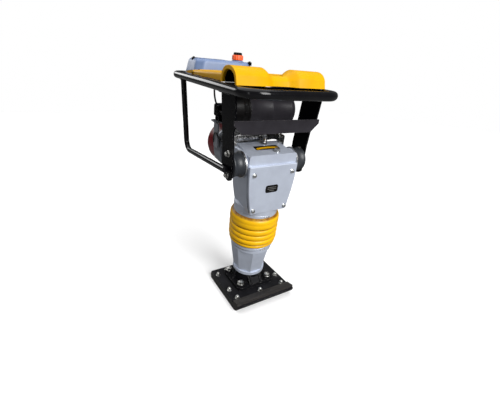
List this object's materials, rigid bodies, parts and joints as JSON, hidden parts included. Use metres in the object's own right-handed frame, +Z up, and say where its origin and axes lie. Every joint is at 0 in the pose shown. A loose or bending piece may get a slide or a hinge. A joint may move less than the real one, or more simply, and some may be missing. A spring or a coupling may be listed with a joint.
{
  "type": "tamping rammer",
  "caption": "Upright vibratory tamping rammer with a spring-loaded foot in a bellows, crankcase, engine, fuel tank and handle ring on rubber mounts.",
  "frame": {"origin": "where the leg's axis meets the floor, on the underside of the sole", "axes": "+Z up, -Y to the machine's front (the toe of the shoe), +Y to the operator, +X to the machine's left; the leg leans forward from +Z by 7.5 degrees in the YZ plane"},
  "size_m": [0.3734, 0.7388, 1.0152],
  "materials": {
    "steel_black": "satin",
    "block_black": "matte",
    "zinc": "satin",
    "base_black": "satin",
    "casting_grey": "satin",
    "machined_steel": "machined",
    "spring_steel": "satin",
    "bellows_yellow": "gloss",
    "engine_alloy": "rough cast",
    "tube_black": "gloss",
    "plate_black": "gloss",
    "plate_grey": "satin",
    "rubber_black": "matte",
    "hood_yellow": "gloss",
    "tank_grey": "satin",
    "plastic_black": "satin",
    "cap_orange": "satin",
    "recoil_red": "gloss",
    "blower_grey": "satin",
    "hose_black": "satin",
    "rope_white": "matte"
  },
  "bodies": {
    "foot": {"sole_plate": "steel_black", "shoe_block": "block_black", "shoe_plate": "steel_black", "shoe_bolts": "zinc", "foot_base": "base_black", "foot_base_bolts": "zinc", "ram_foot": "casting_grey", "spring_cylinder": "machined_steel", "cylinder_cap": "machined_steel", "lower_spring": "spring_steel", "upper_spring": "spring_steel", "bellows": "bellows_yellow", "lower_bellows_clamp": "zinc"},
    "machine": {"crankcase": "casting_grey", "crankcase_cover": "casting_grey", "case_bolts": "zinc", "guide_cylinder": "machined_steel", "upper_bellows_clamp": "zinc", "oil_filler_plug": "zinc", "shaft_bearings": "machined_steel", "mount_flanges": "machined_steel", "engine_block": "engine_alloy", "engine_cylinder": "engine_alloy", "spark_plug": "plastic_black", "carburettor": "engine_alloy", "muffler": "plate_black", "blower_housing": "blower_grey", "recoil_cover": "recoil_red", "fuel_hose": "hose_black"},
    "crank": {"crank_gear": "machined_steel"},
    "conrod": {"connecting_rod": "machined_steel", "wrist_pin": "machined_steel"},
    "piston": {"piston_guide": "machined_steel", "piston_rod": "machined_steel", "ram_piston": "machined_steel"},
    "drum": {"clutch_drum": "machined_steel", "pinion": "machined_steel"},
    "engine_shaft": {"engine_crankshaft": "machined_steel", "clutch_shoes": "machined_steel", "flywheel": "engine_alloy"},
    "starter": {"starter_grip": "plastic_black", "starter_rope": "rope_white"},
    "handle": {"handle_ring": "tube_black", "side_arms": "plate_black", "cross_plate": "plate_grey", "guard_tubes": "tube_black", "lift_bar": "plate_black", "rubber_mounts": "rubber_black", "mount_bolts": "zinc", "hood": "hood_yellow", "fuel_tank": "tank_grey", "air_cleaner": "plastic_black", "air_cleaner_cap": "plastic_black", "intake_hose": "hose_black", "throttle_bracket": "plate_black", "fuel_tap": "plastic_black"},
    "throttle": {"throttle_lever": "plate_black"},
    "cap": {"fuel_cap": "cap_orange"},
    "choke": {"choke_lever": "plastic_black"},
    "tap_lever": {"fuel_tap_lever": "cap_orange"}
  },
  "joints": [
    {"name": "ram_stroke", "type": "slide", "parent": "foot", "child": "machine", "axis": [0, -0.1305, 0.9914], "range_m": [-0.025, 0.04], "stiffness_N_per_m": 40000, "springref_m": 0.01148, "deforming": ["bellows", "lower_spring", "upper_spring"]},
    {"name": "crank_spin", "type": "hinge", "parent": "machine", "child": "crank", "pos_m": [0, -0.06853, 0.52051], "axis": [0, 0.9914, 0.1305], "continuous": true},
    {"name": "pinion_spin", "type": "hinge", "parent": "machine", "child": "drum", "pos_m": [0, -0.07897, 0.59982], "axis": [0, 0.9914, 0.1305], "continuous": true},
    {"name": "conrod_swing", "type": "hinge", "parent": "crank", "child": "conrod", "pos_m": [0, -0.06618, 0.50266], "axis": [0, 0.9914, 0.1305], "continuous": true},
    {"name": "piston_slide", "type": "slide", "parent": "machine", "child": "piston", "axis": [0, -0.1305, 0.9914], "range_m": [0, 0.036], "deforming": ["lower_spring", "upper_spring"]},
    {"name": "engine_spin", "type": "hinge", "parent": "machine", "child": "engine_shaft", "pos_m": [0, -0.07897, 0.59982], "axis": [0, 0.9914, 0.1305], "continuous": true},
    {"name": "starter_pull", "type": "slide", "parent": "machine", "child": "starter", "axis": [0, 0.9914, 0.1305], "range_m": [0, 0.6], "stiffness_N_per_m": 60, "springref_m": -0.15, "deforming": ["starter_rope"]},
    {"name": "handle_rock", "type": "hinge", "parent": "machine", "child": "handle", "pos_m": [0, -0.1162, 0.62216], "axis": [1, 0, 0], "range_deg": [-3, 3], "stiffness_Nm_per_rad": 2500, "springref_deg": 0.63, "deforming": ["intake_hose", "fuel_hose"]},
    {"name": "throttle_turn", "type": "hinge", "parent": "handle", "child": "throttle", "pos_m": [0.142, 0.21256, 0.90096], "axis": [1, 0, 0], "range_deg": [0, 60]},
    {"name": "fuel_cap_lift", "type": "slide", "parent": "handle", "child": "cap", "axis": [0, -0.0889, 0.996], "range_m": [0, 0.05]},
    {"name": "choke_turn", "type": "hinge", "parent": "machine", "child": "choke", "pos_m": [0.02, 0.10723, 0.7484], "axis": [1, 0, 0], "range_deg": [0, 60]},
    {"name": "fuel_tap_turn", "type": "hinge", "parent": "handle", "child": "tap_lever", "pos_m": [-0.052, 0.27081, 0.88492], "axis": [1, 0, 0], "range_deg": [-90, 0]}
  ],
  "couplings": [
    {"joint": "pinion_spin", "follows": "crank_spin", "ratio": -3.4444},
    {"joint": "conrod_swing", "follows": "crank_spin", "ratio": -1}
  ]
}
